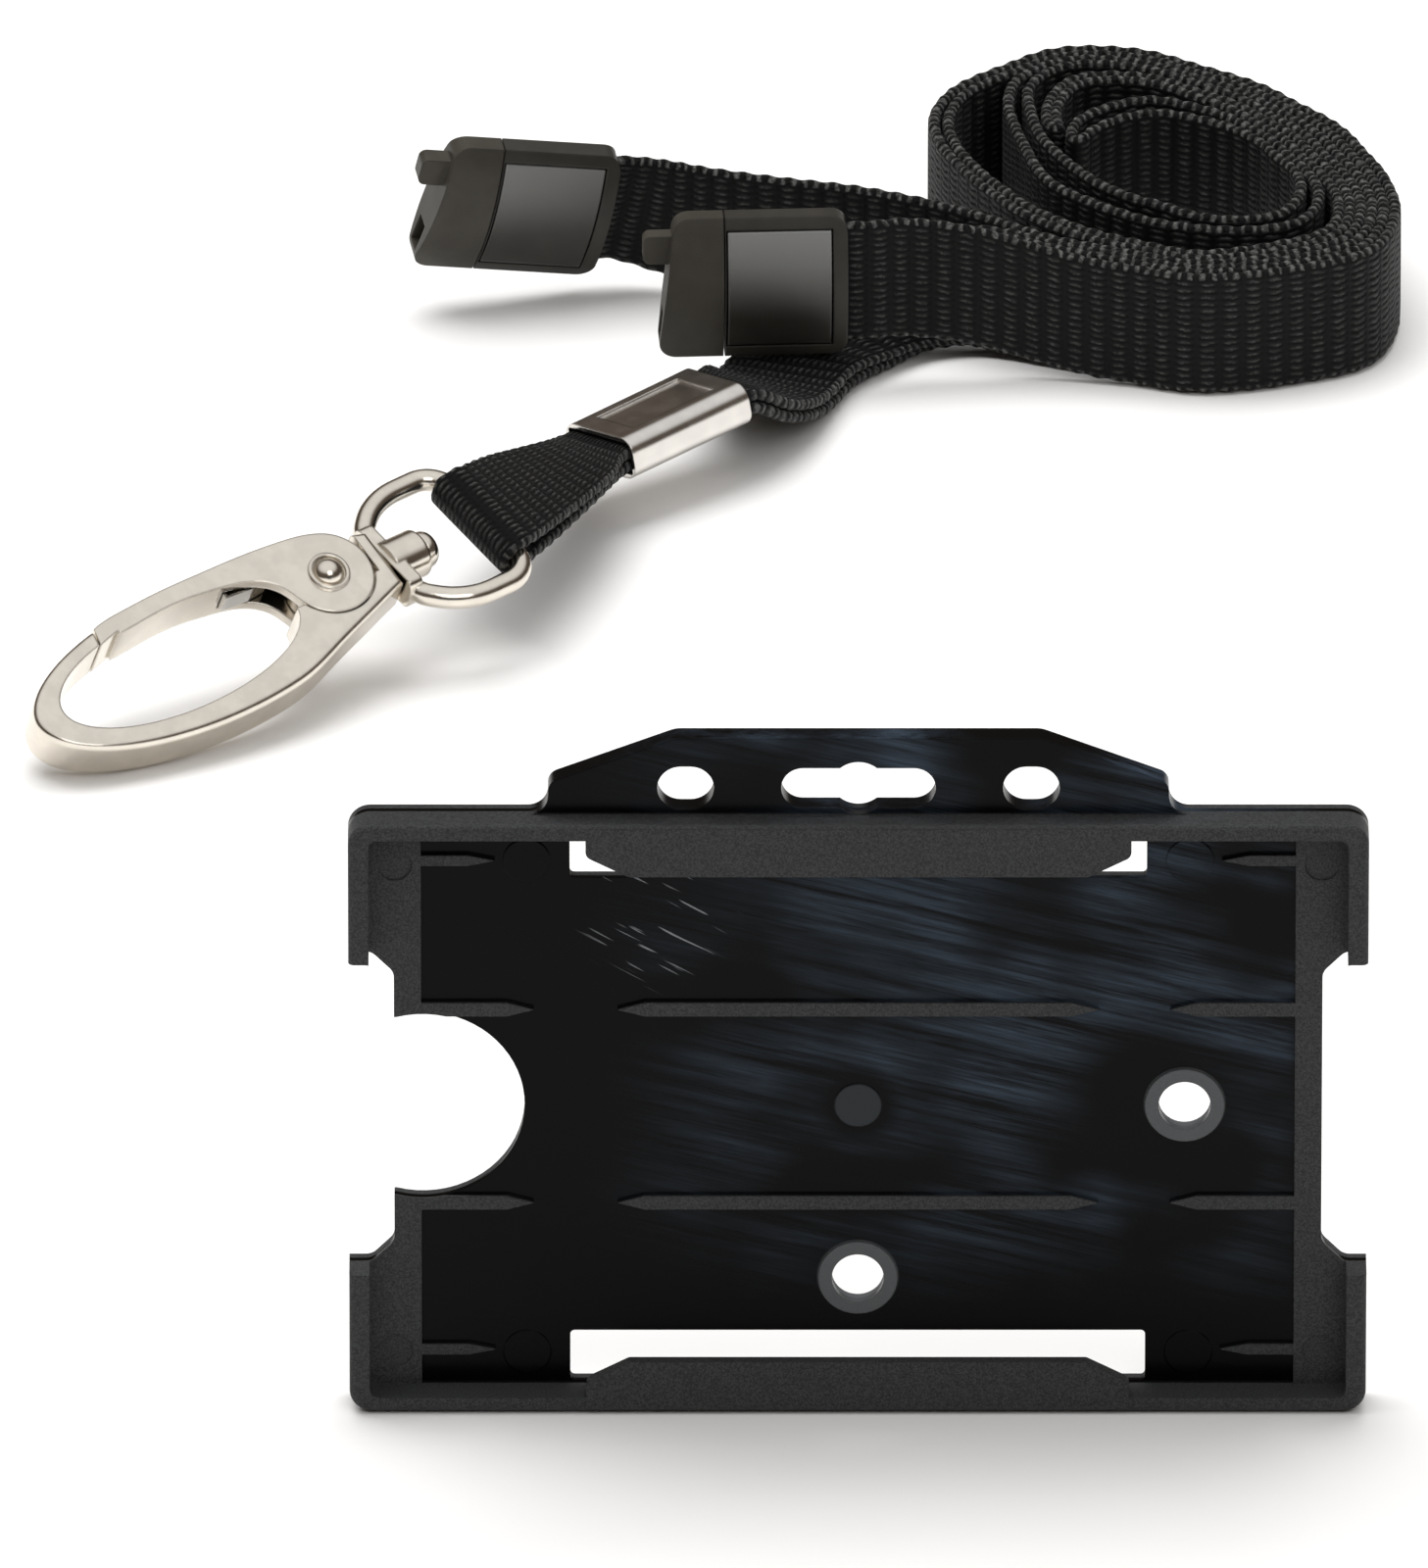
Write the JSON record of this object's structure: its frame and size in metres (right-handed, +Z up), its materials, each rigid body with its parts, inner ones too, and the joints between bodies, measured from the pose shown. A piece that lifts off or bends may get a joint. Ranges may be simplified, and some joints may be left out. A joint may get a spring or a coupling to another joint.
{
  "type": "lanyard badge holder",
  "caption": "Neck lanyard with breakaway clip, metal ferrule and swivel hook, beside a rigid open-faced card holder with hanger slots.",
  "frame": {"origin": "middle of the card holder's bottom edge, on the surface that everything rests on", "axes": "+Z up, -Y out of the card holder's open face, +Y towards the lanyard lying behind it, +X to the right seen from the front"},
  "size_m": [0.1263, 0.2691, 0.0646],
  "materials": {
    "holder_plastic": "fine moulded texture, polished inside the tray",
    "clip_satin": "satin moulded",
    "clip_shell": "smooth moulded",
    "clip_lid": "smooth moulded",
    "webbing": "ribbed polyester weave",
    "ferrule_metal": "nickel plated",
    "bright_metal": "bright nickel plated",
    "spring_steel": "bare spring steel"
  },
  "bodies": {
    "lanyard": {"webbing_coil": "webbing", "webbing_front_end": "webbing", "webbing_back_end": "webbing", "webbing_neck": "webbing", "webbing_loop": "webbing", "ferrule": "ferrule_metal", "breakaway_front_core": "clip_satin", "breakaway_front_shell": "clip_shell", "breakaway_front_lid": "clip_lid", "breakaway_back_core": "clip_satin", "breakaway_back_shell": "clip_shell", "breakaway_back_lid": "clip_lid"},
    "yoke": {"swivel_yoke": "bright_metal"},
    "hook": {"hook_body": "bright_metal", "swivel_pin": "bright_metal", "gate_rivet": "bright_metal"},
    "gate": {"hook_gate": "bright_metal", "gate_spring": "spring_steel"},
    "holder": {"card_holder": "holder_plastic"}
  },
  "joints": [
    {"name": "yoke_hinge", "type": "hinge", "parent": "lanyard", "child": "yoke", "pos_m": [-0.03374, 0.16217, 0.01107], "axis": [-0.6012, 0.7236, 0.3391], "range_deg": [-60, 100]},
    {"name": "hook_swivel", "type": "hinge", "parent": "yoke", "child": "hook", "pos_m": [-0.04158, 0.15626, 0.00978], "axis": [0.7918, 0.5967, 0.1305], "continuous": true},
    {"name": "gate_hinge", "type": "hinge", "parent": "hook", "child": "gate", "pos_m": [-0.04835, 0.15212, 0.00922], "axis": [0.2305, -0.4898, 0.8408], "range_deg": [0, 17], "stiffness_Nm_per_rad": 0.02, "springref_deg": -20.05},
    {"name": "holder_lift", "type": "slide", "parent": "lanyard", "child": "holder", "axis": [0, 0, 1], "range_m": [0, 0.06]}
  ]
}
